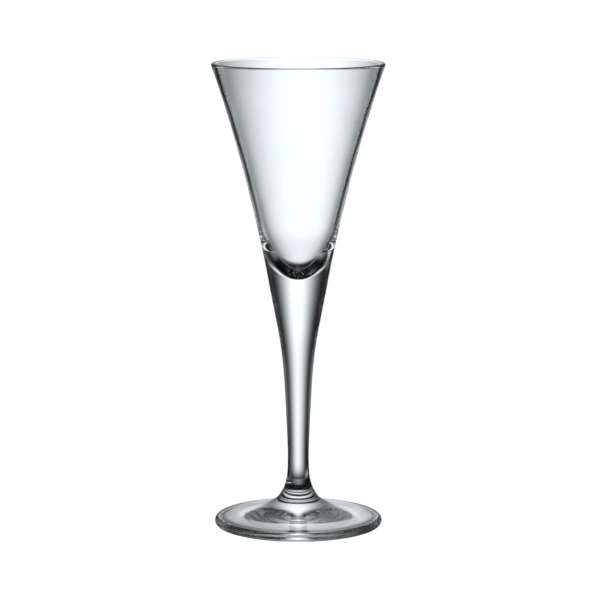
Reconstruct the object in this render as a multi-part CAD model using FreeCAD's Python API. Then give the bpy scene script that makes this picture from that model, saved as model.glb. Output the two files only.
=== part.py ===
import FreeCAD, Part
import math
import os

# A tall stemmed schnapps glass in clear glass, one solid turned about its upright axis.
# Millimetres, +Z up, the axis at x = y = 0 and the table at z = 0.
# From the table up: a round foot with a rounded edge, a flare, a thin solid stem that
# widens slowly, and a deep narrow bowl whose wall is thick at the bottom and thin above.

# ---- driving dimensions ----
HEIGHT = 145.0            # table to the top of the lip

FOOT_EDGE_R = 26.2        # outermost radius of the foot
EDGE_ROUND = 1.47         # radius of the foot's rounded edge
RING_IN_R = 24.0          # inner radius of the flat ring that the glass stands on
RING_OUT_R = FOOT_EDGE_R - EDGE_ROUND
HOLLOW = 2.4              # how far the underside is raised at its middle

LIP_R = 26.18             # radius of the middle of the wall at the lip
LIP_ROUND = 0.65          # half the wall's thickness, the lip is a full round
LIP_LEAN = 19.1           # degrees that the wall leans outwards at the lip

CAVITY_Z = 78.5           # lowest point of the inside of the bowl

# Outside of the glass from the foot's top edge to just under the lip: (radius, height).
OUTSIDE = [
    (22.0, 3.40),
    (18.0, 4.20),
    (14.0, 5.22),
    (11.0, 6.20),
    (9.0, 7.08),
    (7.55, 7.93),
    (6.47, 8.75),
    (5.54, 10.0),
    (4.95, 11.0),
    (4.49, 12.0),
    (3.99, 13.5),
    (3.65, 15.0),
    (3.42, 17.0),
    (3.31, 20.0),
    (3.32, 23.0),
    (3.40, 26.0),
    (3.56, 30.0),
    (3.78, 35.0),
    (4.05, 40.0),
    (4.33, 45.0),
    (4.71, 50.0),
    (5.13, 54.0),
    (5.68, 58.0),
    (6.36, 62.0),
    (7.13, 66.0),
    (7.91, 70.0),
    (8.87, 75.0),
    (9.79, 80.0),
    (10.79, 85.0),
    (11.83, 90.0),
    (12.93, 95.0),
    (14.10, 100.0),
    (16.53, 110.0),
    (19.24, 120.0),
    (22.17, 130.0),
    (25.35, 140.0),
]

# Inside of the bowl from its lowest point to just under the lip: (radius, height).
INSIDE = [
    (1.58, 78.8),
    (2.74, 79.4),
    (3.89, 80.3),
    (5.04, 81.5),
    (6.2, 83.0),
    (7.29, 84.7),
    (8.37, 86.7),
    (9.39, 89.0),
    (10.31, 91.5),
    (11.18, 94.5),
    (12.08, 98.0),
    (13.11, 102.0),
    (14.42, 107.0),
    (15.99, 113.0),
    (17.72, 119.0),
    (20.03, 127.0),
    (22.51, 135.0),
    (25.0, 143.0),
]


def vec(r, z):
    return FreeCAD.Vector(r, 0, z)


lean = math.radians(LIP_LEAN)
up = (math.sin(lean), math.cos(lean))          # along the wall at the lip, upwards
out = (math.cos(lean), -math.sin(lean))        # across the wall at the lip, outwards
lip_z = HEIGHT - LIP_ROUND
lip_outer = (LIP_R + LIP_ROUND * out[0], lip_z + LIP_ROUND * out[1])
lip_inner = (LIP_R - LIP_ROUND * out[0], lip_z - LIP_ROUND * out[1])
lip_top = (LIP_R + LIP_ROUND * up[0], lip_z + LIP_ROUND * up[1])

edge_low = (RING_OUT_R, 0.0)
edge_mid = (FOOT_EDGE_R, EDGE_ROUND)
edge_high = (RING_OUT_R, 2 * EDGE_ROUND)

# ---- the closed profile, half of a cut through the axis ----
# Each curve runs through its points. A point just before an end keeps the curve in line
# with the round that it meets there, and mirrored points make it level at the axis.
outside = Part.BSplineCurve()
outside.interpolate(
    [vec(*edge_high), vec(edge_high[0] - 0.5, edge_high[1] + 0.04)]
    + [vec(*p) for p in OUTSIDE]
    + [vec(lip_outer[0] - 0.5 * up[0], lip_outer[1] - 0.5 * up[1]), vec(*lip_outer)]
)

inside_half = [vec(*p) for p in INSIDE] + [
    vec(lip_inner[0] - 0.5 * up[0], lip_inner[1] - 0.5 * up[1]),
    vec(*lip_inner),
]
inside_other = [FreeCAD.Vector(-v.x, 0, v.z) for v in reversed(inside_half)]
inside = Part.BSplineCurve()
inside.interpolate(inside_other + [vec(0, CAVITY_Z)] + inside_half)
inside_from = inside.parameter(vec(0, CAVITY_Z))

# the underside rises from the standing ring to its middle as a shallow dome
hollow_points = []
for i in range(-4, 5):
    share = i / 4
    hollow_points.append(vec(RING_IN_R * share, HOLLOW * (1 - share * share)))
hollow = Part.BSplineCurve()
hollow.interpolate(hollow_points)
hollow_from = hollow.parameter(vec(0, HOLLOW))

edges = [
    Part.makeLine(vec(RING_IN_R, 0), vec(*edge_low)),
    Part.Arc(vec(*edge_low), vec(*edge_mid), vec(*edge_high)).toShape(),
    outside.toShape(),
    Part.Arc(vec(*lip_outer), vec(*lip_top), vec(*lip_inner)).toShape(),
    inside.toShape(inside_from, inside.LastParameter),
    Part.makeLine(vec(0, CAVITY_Z), vec(0, HOLLOW)),
    hollow.toShape(hollow_from, hollow.LastParameter),
]
profile = Part.Face(Part.Wire(Part.__sortEdges__(edges)))
glass = profile.revolve(FreeCAD.Vector(0, 0, 0), FreeCAD.Vector(0, 0, 1), 360)

os.makedirs("parts", exist_ok=True)
glass.exportStep("parts/schnapps_glass.step")
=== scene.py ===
import math

import bpy
import numpy as np
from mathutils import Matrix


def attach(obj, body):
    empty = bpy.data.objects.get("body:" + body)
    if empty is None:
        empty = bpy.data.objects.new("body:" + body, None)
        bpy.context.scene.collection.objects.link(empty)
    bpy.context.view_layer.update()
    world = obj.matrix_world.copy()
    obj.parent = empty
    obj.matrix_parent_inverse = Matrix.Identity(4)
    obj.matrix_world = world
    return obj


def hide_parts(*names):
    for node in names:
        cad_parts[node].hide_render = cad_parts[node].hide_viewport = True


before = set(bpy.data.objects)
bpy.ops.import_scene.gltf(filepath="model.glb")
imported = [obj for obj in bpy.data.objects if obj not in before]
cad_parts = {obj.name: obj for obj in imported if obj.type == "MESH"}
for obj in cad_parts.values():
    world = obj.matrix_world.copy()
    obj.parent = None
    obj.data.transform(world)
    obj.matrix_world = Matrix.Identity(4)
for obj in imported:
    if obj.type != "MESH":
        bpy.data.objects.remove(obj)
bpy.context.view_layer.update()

MM = 0.001

# ---------------------------------------------------------------------------
# The glass, turned from the same profile as the CAD solid (radius, height in mm)
# ---------------------------------------------------------------------------
HEIGHT = 144.999
FOOT_EDGE_R = 26.2
EDGE_ROUND = 1.47
RING_IN_R = 24.0
RING_OUT_R = FOOT_EDGE_R - EDGE_ROUND
HOLLOW = 2.4
LIP_R = 26.18
LIP_ROUND = 0.65
LIP_LEAN = 19.1
CAVITY_Z = 78.5

OUTSIDE = [
    (22.0, 3.40), (18.0, 4.20), (14.0, 5.22), (11.0, 6.20), (9.0, 7.08), (7.55, 7.93),
    (6.47, 8.75), (5.54, 10.0), (4.95, 11.0), (4.49, 12.0), (3.99, 13.5), (3.65, 15.0),
    (3.42, 17.0), (3.31, 20.0), (3.32, 23.0), (3.40, 26.0), (3.56, 30.0), (3.78, 35.0),
    (4.05, 40.0), (4.33, 45.0), (4.71, 50.0), (5.13, 54.0), (5.68, 58.0), (6.36, 62.0),
    (7.13, 66.0), (7.91, 70.0), (8.87, 75.0), (9.79, 80.0), (10.79, 85.0), (11.83, 90.0),
    (12.93, 95.0), (14.10, 100.0), (16.53, 110.0), (19.24, 120.0), (22.17, 130.0), (25.35, 140.0),
]
INSIDE = [
    (1.58, 78.8), (2.74, 79.4), (3.89, 80.3), (5.04, 81.5), (6.2, 83.0), (7.29, 84.7),
    (8.37, 86.7), (9.39, 89.0), (10.31, 91.5), (11.18, 94.5), (12.08, 98.0), (13.11, 102.0),
    (14.42, 107.0), (15.99, 113.0), (17.72, 119.0), (20.03, 127.0), (22.51, 135.0), (25.0, 143.0),
]


ROUGH_MAX = 0.004            # greatest roughness of the surface
WAVE_DEPTH = 0.0000008       # metres, height of the waves in the surface


def spline(points, fine=24):
    """A smooth curve through the points, the same kind that the CAD profile uses."""
    p = np.array(points, float)
    d = np.hypot(*np.diff(p, axis=0).T)
    t = np.concatenate([[0], np.cumsum(d)])
    n = len(p)
    h = np.diff(t)
    a = np.zeros((n, n))
    b = np.zeros((n, 2))
    a[0, 0] = a[-1, -1] = 1
    for i in range(1, n - 1):
        a[i, i - 1] = h[i - 1]
        a[i, i] = 2 * (h[i - 1] + h[i])
        a[i, i + 1] = h[i]
        b[i] = 6 * ((p[i + 1] - p[i]) / h[i] - (p[i] - p[i - 1]) / h[i - 1])
    m = np.linalg.solve(a, b)
    out = []
    for i in range(n - 1):
        for s in np.linspace(0, 1, fine, endpoint=False):
            u, v = 1 - s, s
            out.append(
                u * p[i] + v * p[i + 1]
                + ((u ** 3 - u) * m[i] + (v ** 3 - v) * m[i + 1]) * h[i] ** 2 / 6
            )
    out.append(p[-1])
    return np.array(out)


def arc(centre, radius, start, end, n=40):
    a = np.radians(np.linspace(start, end, n))
    return np.stack([centre[0] + radius * np.cos(a), centre[1] + radius * np.sin(a)], 1)


def thin(curve, turn=1.6, step=1.1, least=0.03):
    """Keeps the points that the curve's shape needs: more where it bends, fewer where it is straight."""
    d = np.diff(curve, axis=0)
    length = np.hypot(*d.T)
    angle = np.unwrap(np.arctan2(d[:, 1], d[:, 0]))
    keep, run, bend = [0], 0.0, 0.0
    for i in range(1, len(curve) - 1):
        run += length[i - 1]
        bend += abs(angle[i] - angle[i - 1])
        if run >= least and (run >= step or bend >= math.radians(turn)):
            keep.append(i)
            run = bend = 0.0
    keep.append(len(curve) - 1)
    return curve[keep]


def glass_profile():
    """The closed outline, from the middle of the underside round to the bottom of the bowl."""
    lean = math.radians(LIP_LEAN)
    up = np.array([math.sin(lean), math.cos(lean)])
    out = np.array([math.cos(lean), -math.sin(lean)])
    lip = np.array([LIP_R, HEIGHT - LIP_ROUND])
    lip_outer = lip + LIP_ROUND * out
    lip_inner = lip - LIP_ROUND * out
    under = [
        (RING_IN_R * s, HOLLOW * (1 - s * s)) for s in np.linspace(0, 1, 60)
    ]
    outside = spline(
        [(RING_OUT_R, 2 * EDGE_ROUND), (RING_OUT_R - 0.5, 2 * EDGE_ROUND + 0.04)]
        + OUTSIDE + [tuple(lip_outer - 0.5 * up), tuple(lip_outer)]
    )
    half = INSIDE + [tuple(lip_inner - 0.5 * up), tuple(lip_inner)]
    inside = spline([(-r, z) for r, z in reversed(half)] + [(0, CAVITY_Z)] + half)
    inside = inside[len(half) * 24:]
    parts = [
        thin(np.array(under), step=1.0),
        thin(arc((RING_OUT_R, EDGE_ROUND), EDGE_ROUND, -90, 90, 200), turn=4),
        thin(outside)[1:],
        thin(arc(lip, LIP_ROUND, -LIP_LEAN, 180 - LIP_LEAN, 200), turn=5)[1:],
        thin(inside)[::-1][1:],
    ]
    return np.concatenate(parts)


def lathe(name, profile, around=224):
    """Turns the profile about the Z axis; its first and last points lie on the axis."""
    verts = [(0.0, 0.0, profile[0][1] * MM)]
    ring = np.arange(around) * 2 * math.pi / around
    for r, z in profile[1:-1]:
        for a in ring:
            verts.append((r * math.cos(a) * MM, r * math.sin(a) * MM, z * MM))
    verts.append((0.0, 0.0, profile[-1][1] * MM))
    rows = len(profile) - 2
    faces = []
    for j in range(around):
        faces.append((0, 1 + (j + 1) % around, 1 + j))
    for i in range(rows - 1):
        lo, hi = 1 + i * around, 1 + (i + 1) * around
        for j in range(around):
            k = (j + 1) % around
            faces.append((lo + j, lo + k, hi + k, hi + j))
    last = len(verts) - 1
    lo = 1 + (rows - 1) * around
    for j in range(around):
        faces.append((lo + j, lo + (j + 1) % around, last))
    mesh = bpy.data.meshes.new(name)
    mesh.from_pydata(verts, [], faces)
    mesh.validate()
    mesh.update()
    for poly in mesh.polygons:
        poly.use_smooth = True
    obj = bpy.data.objects.new(name, mesh)
    bpy.context.scene.collection.objects.link(obj)
    return obj


def clear_glass():
    """Clear glass with a trace of tint and the faint waviness of a turned, fire polished surface."""
    mat = bpy.data.materials.new("clear_glass")
    mat.use_nodes = True
    nt = mat.node_tree
    bsdf = nt.nodes["Principled BSDF"]
    bsdf.inputs["IOR"].default_value = 1.52
    bsdf.inputs["Transmission Weight"].default_value = 1.0
    where = nt.nodes.new("ShaderNodeTexCoord").outputs["Object"]

    # broad, soft variation of the tint
    cloud = nt.nodes.new("ShaderNodeTexNoise")
    cloud.inputs["Scale"].default_value = 22.0
    cloud.inputs["Detail"].default_value = 1.0
    nt.links.new(where, cloud.inputs["Vector"])
    tint = nt.nodes.new("ShaderNodeValToRGB")
    tint.color_ramp.elements[0].position = 0.35
    tint.color_ramp.elements[0].color = (0.978, 0.992, 0.994, 1.0)
    tint.color_ramp.elements[1].position = 0.65
    tint.color_ramp.elements[1].color = (0.996, 1.0, 1.0, 1.0)
    nt.links.new(cloud.outputs["Fac"], tint.inputs["Fac"])
    nt.links.new(tint.outputs["Color"], bsdf.inputs["Base Color"])

    # nearly polished all over, a touch softer in places
    film = nt.nodes.new("ShaderNodeTexNoise")
    film.inputs["Scale"].default_value = 160.0
    film.inputs["Detail"].default_value = 3.0
    nt.links.new(where, film.inputs["Vector"])
    soft = nt.nodes.new("ShaderNodeMapRange")
    soft.inputs["From Min"].default_value = 0.3
    soft.inputs["From Max"].default_value = 0.7
    soft.inputs["To Min"].default_value = 0.0
    soft.inputs["To Max"].default_value = ROUGH_MAX
    nt.links.new(film.outputs["Fac"], soft.inputs["Value"])
    nt.links.new(soft.outputs["Result"], bsdf.inputs["Roughness"])

    # shallow waves
    wave = nt.nodes.new("ShaderNodeTexNoise")
    wave.inputs["Scale"].default_value = 38.0
    wave.inputs["Detail"].default_value = 0.5
    nt.links.new(where, wave.inputs["Vector"])
    bump = nt.nodes.new("ShaderNodeBump")
    bump.inputs["Strength"].default_value = 1.0
    bump.inputs["Distance"].default_value = WAVE_DEPTH
    nt.links.new(wave.outputs["Fac"], bump.inputs["Height"])
    nt.links.new(bump.outputs["Normal"], bsdf.inputs["Normal"])
    return mat


glass = lathe("glass", glass_profile())
glass.data.materials.append(clear_glass())
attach(glass, "root")
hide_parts("schnapps_glass")

# ---------------------------------------------------------------------------
# Camera
# ---------------------------------------------------------------------------
cam_data = bpy.data.cameras.new("camera")
cam_data.sensor_width = 36.0
cam_data.lens = 36.0 * 2910.2 / 600.0
cam_data.clip_start = 0.01
camera = bpy.data.objects.new("camera", cam_data)
bpy.context.scene.collection.objects.link(camera)
camera.location = (0.0, -0.8958, 0.20558)
camera.rotation_euler = (math.pi / 2 - 0.1489, 0.0, -math.atan(1.7 / 2910.2))
bpy.context.scene.camera = camera

# ---------------------------------------------------------------------------
# Studio: a small light tent close around the glass. The camera looks through it.
# ---------------------------------------------------------------------------
TENT_R = 0.12
TENT_MIDDLE = 0.07


def light_tent():
    rings, around = 48, 96
    verts = [(0.0, 0.0, TENT_MIDDLE - TENT_R)]
    for i in range(1, rings):
        e = math.pi * i / rings - math.pi / 2
        for j in range(around):
            a = 2 * math.pi * j / around
            verts.append((
                TENT_R * math.cos(e) * math.cos(a), TENT_R * math.cos(e) * math.sin(a),
                TENT_MIDDLE + TENT_R * math.sin(e),
            ))
    verts.append((0.0, 0.0, TENT_MIDDLE + TENT_R))
    top = len(verts) - 1
    faces = []
    for j in range(around):
        k = (j + 1) % around
        faces.append((0, 1 + j, 1 + k))
        for i in range(rings - 2):
            lo, hi = 1 + i * around, 1 + (i + 1) * around
            faces.append((lo + j, hi + j, hi + k, lo + k))
        last = 1 + (rings - 2) * around
        faces.append((last + j, top, last + k))
    mesh = bpy.data.meshes.new("light_tent")
    mesh.from_pydata(verts, [], faces)
    mesh.update()
    obj = bpy.data.objects.new("light_tent", mesh)
    bpy.context.scene.collection.objects.link(obj)
    obj.visible_camera = False
    obj.visible_shadow = False
    return obj


tent = light_tent()
tent_mat = bpy.data.materials.new("tent_light")
tent_mat.use_nodes = True
def calc(tree, op, *values, clamp=False):
    """One Math node. A value is a number or another node's output."""
    node = tree.nodes.new("ShaderNodeMath")
    node.operation = op
    node.use_clamp = clamp
    for i, v in enumerate(values):
        if isinstance(v, (int, float)):
            node.inputs[i].default_value = v
        else:
            tree.links.new(v, node.inputs[i])
    return node.outputs[0]


def azimuth_and_height(tree, vector):
    """Both angles of a vector in degrees; azimuth 0 is behind the glass as the camera sees it."""
    way = tree.nodes.new("ShaderNodeVectorMath")
    way.operation = "NORMALIZE"
    tree.links.new(vector, way.inputs[0])
    split = tree.nodes.new("ShaderNodeSeparateXYZ")
    tree.links.new(way.outputs[0], split.inputs[0])
    azimuth = calc(tree, "ARCTAN2", split.outputs["X"], split.outputs["Y"])
    height = calc(tree, "ARCSINE", split.outputs["Z"])
    return calc(tree, "MULTIPLY", azimuth, 180 / math.pi), calc(tree, "MULTIPLY", height, 180 / math.pi)


def bell(tree, value, sharp=2.0):
    """1 at zero and falling off to both sides; a larger sharp gives a flatter top and a harder end."""
    far = calc(tree, "POWER", calc(tree, "ABSOLUTE", value), sharp)
    return calc(tree, "EXPONENT", calc(tree, "MULTIPLY", far, -0.5))


def side_falloff(tree, azimuth, at, width, sharp=2.0):
    off = calc(tree, "WRAP", calc(tree, "SUBTRACT", azimuth, at), 180.0, -180.0)
    return bell(tree, calc(tree, "DIVIDE", off, width), sharp)


def height_falloff(tree, height, low, high, below, above):
    """1 between two elevations in degrees, falling off with its own width below and above."""
    down = calc(tree, "DIVIDE", calc(tree, "MINIMUM", calc(tree, "SUBTRACT", height, low), 0.0), below)
    up = calc(tree, "DIVIDE", calc(tree, "MAXIMUM", calc(tree, "SUBTRACT", height, high), 0.0), above)
    return bell(tree, calc(tree, "ADD", down, up))



wt = tent_mat.node_tree
wt.nodes.clear()
place = wt.nodes.new("ShaderNodeNewGeometry").outputs["Position"]
from_middle = wt.nodes.new("ShaderNodeVectorMath")
from_middle.operation = "SUBTRACT"
from_middle.inputs[1].default_value = (0.0, 0.0, TENT_MIDDLE)
wt.links.new(place, from_middle.inputs[0])
azimuth, height = azimuth_and_height(wt, from_middle.outputs[0])


def lights_sum(tree, azimuth, height, lights, ambient):
    total = ambient
    for at, width, low, high, below, above, power in lights:
        part = calc(tree, "MULTIPLY", side_falloff(tree, azimuth, at, width),
                    height_falloff(tree, height, low, high, below, above))
        total = calc(tree, "ADD", calc(tree, "MULTIPLY", part, power), total)
    return total


SOFT_LIGHTS = [
    # azimuth, its width, from elevation, to elevation, width below, width above, brightness
    (1.5, 13.0, -36, 30, 6, 14, 1.05),      # the tall strip of light behind the glass
    (1.5, 14.0, 2, 40, 6, 14, 0.22),        # its upper part is a little brighter
    (-57, 10, -20, -14, 6, 6, 0.2),         # two faint low glows at the sides
    (57, 10, -20, -14, 6, 6, 0.2),
    (0, 400, 58, 90, 8, 8, 0.4),            # a weak light overhead
]
glow = wt.nodes.new("ShaderNodeEmission")
glow.inputs["Color"].default_value = (0.95, 1.0, 1.025, 1.0)
wt.links.new(lights_sum(wt, azimuth, height, SOFT_LIGHTS, 0.004), glow.inputs["Strength"])
thin_cloth = wt.nodes.new("ShaderNodeAddShader")
wt.links.new(glow.outputs[0], thin_cloth.inputs[0])
wt.links.new(wt.nodes.new("ShaderNodeBsdfTransparent").outputs[0], thin_cloth.inputs[1])
wt.links.new(thin_cloth.outputs[0], wt.nodes.new("ShaderNodeOutputMaterial").inputs["Surface"])
tent.data.materials.append(tent_mat)

# A plain pale floor, lit evenly so that the glass stands on white.
floor_mesh = bpy.data.meshes.new("floor")
floor_mesh.from_pydata(
    [(0.6 * math.cos(a), 0.6 * math.sin(a), -0.0003) for a in np.arange(64) * math.pi / 32], [], [list(range(64))]
)
floor = bpy.data.objects.new("floor", floor_mesh)
bpy.context.scene.collection.objects.link(floor)
floor.visible_diffuse = floor.visible_glossy = floor.visible_transmission = floor.visible_shadow = False
pale = bpy.data.materials.new("pale_floor")
pale.use_nodes = True
pale.node_tree.nodes.clear()
even = pale.node_tree.nodes.new("ShaderNodeEmission")
even.inputs["Color"].default_value = (1, 1, 1, 1)
even.inputs["Strength"].default_value = 1.02
pale.node_tree.links.new(even.outputs[0], pale.node_tree.nodes.new("ShaderNodeOutputMaterial").inputs["Surface"])
floor_mesh.materials.append(pale)

world = bpy.data.worlds.new("studio")
bpy.context.scene.world = world
world.use_nodes = True
nt = world.node_tree
nt.nodes.clear()
# Large panels far off, which reach the glass through the thin cloth. They stand where the
# glass is looked through from its other sides.
PANELS = [
    # azimuth, its width, from elevation, to elevation, width below, width above, brightness
    (-45.0, 9.0, -31, -22, 3, 3, 0.4),
    (135.0, 14.0, -21, -10, 4, 3.0, 1.1),
    (-90.0, 13.0, -9, 3, 3, 3, 1.0),
]
away = nt.nodes.new("ShaderNodeTexCoord").outputs["Generated"]
azimuth, height = azimuth_and_height(nt, away)
panels = nt.nodes.new("ShaderNodeBackground")
panels.inputs["Color"].default_value = (0.95, 1.0, 1.025, 1.0)
nt.links.new(lights_sum(nt, azimuth, height, PANELS, 0.0), panels.inputs["Strength"])
backdrop = nt.nodes.new("ShaderNodeBackground")
backdrop.inputs["Color"].default_value = (1, 1, 1, 1)
backdrop.inputs["Strength"].default_value = 1.02
pick = nt.nodes.new("ShaderNodeMixShader")
nt.links.new(nt.nodes.new("ShaderNodeLightPath").outputs["Is Camera Ray"], pick.inputs[0])
nt.links.new(panels.outputs[0], pick.inputs[1])
nt.links.new(backdrop.outputs[0], pick.inputs[2])
nt.links.new(pick.outputs[0], nt.nodes.new("ShaderNodeOutputWorld").inputs["Surface"])

cycles = bpy.context.scene.cycles
cycles.max_bounces = 40
cycles.transmission_bounces = 40
cycles.glossy_bounces = 40
cycles.sample_clamp_indirect = 0.0

bpy.context.scene.view_settings.view_transform = "Standard"
